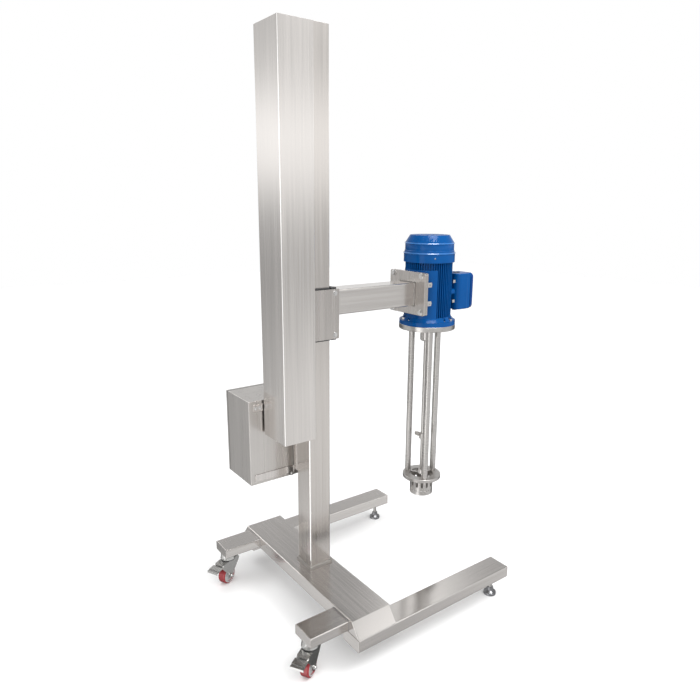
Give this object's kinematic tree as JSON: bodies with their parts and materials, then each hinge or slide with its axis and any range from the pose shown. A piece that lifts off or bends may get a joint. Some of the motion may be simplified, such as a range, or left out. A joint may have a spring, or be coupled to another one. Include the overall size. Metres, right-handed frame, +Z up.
{
  "type": "high shear mixer",
  "caption": "High shear mixer with a rotor-stator head, hung from the lifting arm of a mobile stainless steel stand with a control box, locking castors and levelling feet",
  "frame": {"origin": "on the floor, under the middle of the outline", "axes": "+X along the arm and the legs, +Y to the control box side, +Z up"},
  "size_m": [1.2028, 0.934, 2.31],
  "materials": {
    "brushed_stainless": "brushed",
    "polished_stainless": "polished",
    "blue_paint": "gloss",
    "black_plastic": "satin",
    "red_tread": "satin",
    "bright_zinc": "bright",
    "bronze": "machined",
    "black_steel": "satin",
    "grey_plastic": "satin",
    "red_plastic": "gloss",
    "green_plastic": "gloss"
  },
  "bodies": {
    "stand": {"base_beam": "brushed_stainless", "column": "brushed_stainless", "front_leg_near": "brushed_stainless", "front_leg_far": "brushed_stainless", "rear_stubs": "brushed_stainless", "end_plates": "brushed_stainless", "mast_cover": "brushed_stainless", "drive_plate": "brushed_stainless", "lift_gearmotor": "black_steel", "screw_bearing": "brushed_stainless", "caster_necks": "bright_zinc", "case_bracket": "brushed_stainless", "control_case": "brushed_stainless", "mounting_panel": "bright_zinc", "inverter_drive": "black_plastic", "terminal_row": "grey_plastic"},
    "screw": {"lead_screw": "polished_stainless"},
    "carriage": {"carriage_cross_plates": "brushed_stainless", "carriage_side_plates": "brushed_stainless", "guide_pads": "black_plastic", "carriage_bolts": "polished_stainless", "lead_nut": "bronze", "lift_arm": "brushed_stainless", "arm_plate": "brushed_stainless", "motor_plate": "brushed_stainless", "bracket_bolts": "polished_stainless", "motor_housing": "blue_paint", "motor_feet": "bright_zinc", "drive_end_flange": "blue_paint", "fan_cowl": "blue_paint", "terminal_box": "blue_paint", "terminal_lid": "blue_paint", "foot_bolts": "bright_zinc", "flange_bolts": "bright_zinc", "tool_flange": "polished_stainless", "seal_housing": "polished_stainless", "tie_rods": "polished_stainless", "lower_ring": "polished_stainless", "stator_head": "polished_stainless"},
    "mixer_rotor": {"motor_rotor": "polished_stainless", "cooling_fan": "black_plastic", "mixing_shaft": "polished_stainless", "propeller": "polished_stainless", "rotor_head": "polished_stainless"},
    "door": {"control_door": "brushed_stainless", "control_bezels": "bright_zinc"},
    "lock": {"door_lock": "bright_zinc"},
    "start": {"start_button": "green_plastic"},
    "stop": {"stop_button": "red_plastic"},
    "e_stop": {"emergency_stop": "red_plastic"},
    "speed": {"speed_knob": "black_plastic"},
    "selector": {"lift_selector": "black_plastic"},
    "fork_near": {"caster_fork_near": "bright_zinc"},
    "wheel_near": {"caster_wheel_near": "red_tread"},
    "pedal_near": {"brake_pedal_near": "bright_zinc"},
    "foot_near": {"levelling_foot_near": "polished_stainless"},
    "fork_far": {"caster_fork_far": "bright_zinc"},
    "wheel_far": {"caster_wheel_far": "red_tread"},
    "pedal_far": {"brake_pedal_far": "bright_zinc"},
    "foot_far": {"levelling_foot_far": "polished_stainless"}
  },
  "joints": [
    {"name": "carriage_lift", "type": "slide", "parent": "stand", "child": "carriage", "axis": [0, 0, 1], "range_m": [-0.25, 0.87]},
    {"name": "screw_turn", "type": "hinge", "parent": "stand", "child": "screw", "pos_m": [-0.36565, 0, 1.6], "axis": [0, 0, 1], "continuous": true},
    {"name": "mixer_spin", "type": "hinge", "parent": "carriage", "child": "mixer_rotor", "pos_m": [0.36935, 0, 1.175], "axis": [0, 0, 1], "continuous": true},
    {"name": "door_hinge", "type": "hinge", "parent": "stand", "child": "door", "pos_m": [-0.18205, 0.28815, 0.75], "axis": [0, 0, -1], "range_deg": [0, 110]},
    {"name": "lock_turn", "type": "hinge", "parent": "door", "child": "lock", "pos_m": [-0.46065, 0.3033, 0.75], "axis": [0, 1, 0], "range_deg": [0, 90]},
    {"name": "start_press", "type": "slide", "parent": "door", "child": "start", "axis": [0, -1, 0], "range_m": [0, 0.003], "stiffness_N_per_m": 500},
    {"name": "stop_press", "type": "slide", "parent": "door", "child": "stop", "axis": [0, -1, 0], "range_m": [0, 0.003], "stiffness_N_per_m": 500},
    {"name": "e_stop_press", "type": "slide", "parent": "door", "child": "e_stop", "axis": [0, -1, 0], "range_m": [0, 0.006]},
    {"name": "speed_turn", "type": "hinge", "parent": "door", "child": "speed", "pos_m": [-0.27465, 0.3033, 0.83], "axis": [0, 1, 0], "range_deg": [-135, 135]},
    {"name": "selector_turn", "type": "hinge", "parent": "door", "child": "selector", "pos_m": [-0.27465, 0.3033, 0.745], "axis": [0, 1, 0], "range_deg": [-45, 45], "stiffness_Nm_per_rad": 0.1},
    {"name": "swivel_near", "type": "hinge", "parent": "stand", "child": "fork_near", "pos_m": [-0.49065, -0.351, 0.13], "axis": [0, 0, 1], "continuous": true},
    {"name": "wheel_spin_near", "type": "hinge", "parent": "fork_near", "child": "wheel_near", "pos_m": [-0.50252, -0.35842, 0.04], "axis": [-0.5299, 0.848, 0], "continuous": true},
    {"name": "pedal_press_near", "type": "hinge", "parent": "fork_near", "child": "pedal_near", "pos_m": [-0.53899, -0.38121, 0.1], "axis": [0.5299, -0.848, 0], "range_deg": [0, 12]},
    {"name": "foot_screw_near", "type": "slide", "parent": "stand", "child": "foot_near", "axis": [0, 0, 1], "range_m": [-0.02, 0]},
    {"name": "swivel_far", "type": "hinge", "parent": "stand", "child": "fork_far", "pos_m": [-0.49065, 0.351, 0.13], "axis": [0, 0, 1], "continuous": true},
    {"name": "wheel_spin_far", "type": "hinge", "parent": "fork_far", "child": "wheel_far", "pos_m": [-0.50323, 0.34486, 0.04], "axis": [-0.4384, 0.8988, 0], "continuous": true},
    {"name": "pedal_press_far", "type": "hinge", "parent": "fork_far", "child": "pedal_far", "pos_m": [-0.54188, 0.32601, 0.1], "axis": [0.4384, -0.8988, 0], "range_deg": [0, 12]},
    {"name": "foot_screw_far", "type": "slide", "parent": "stand", "child": "foot_far", "axis": [0, 0, 1], "range_m": [-0.02, 0]}
  ],
  "couplings": [
    {"joint": "screw_turn", "follows": "carriage_lift", "rad_per_m": -1256.6}
  ]
}
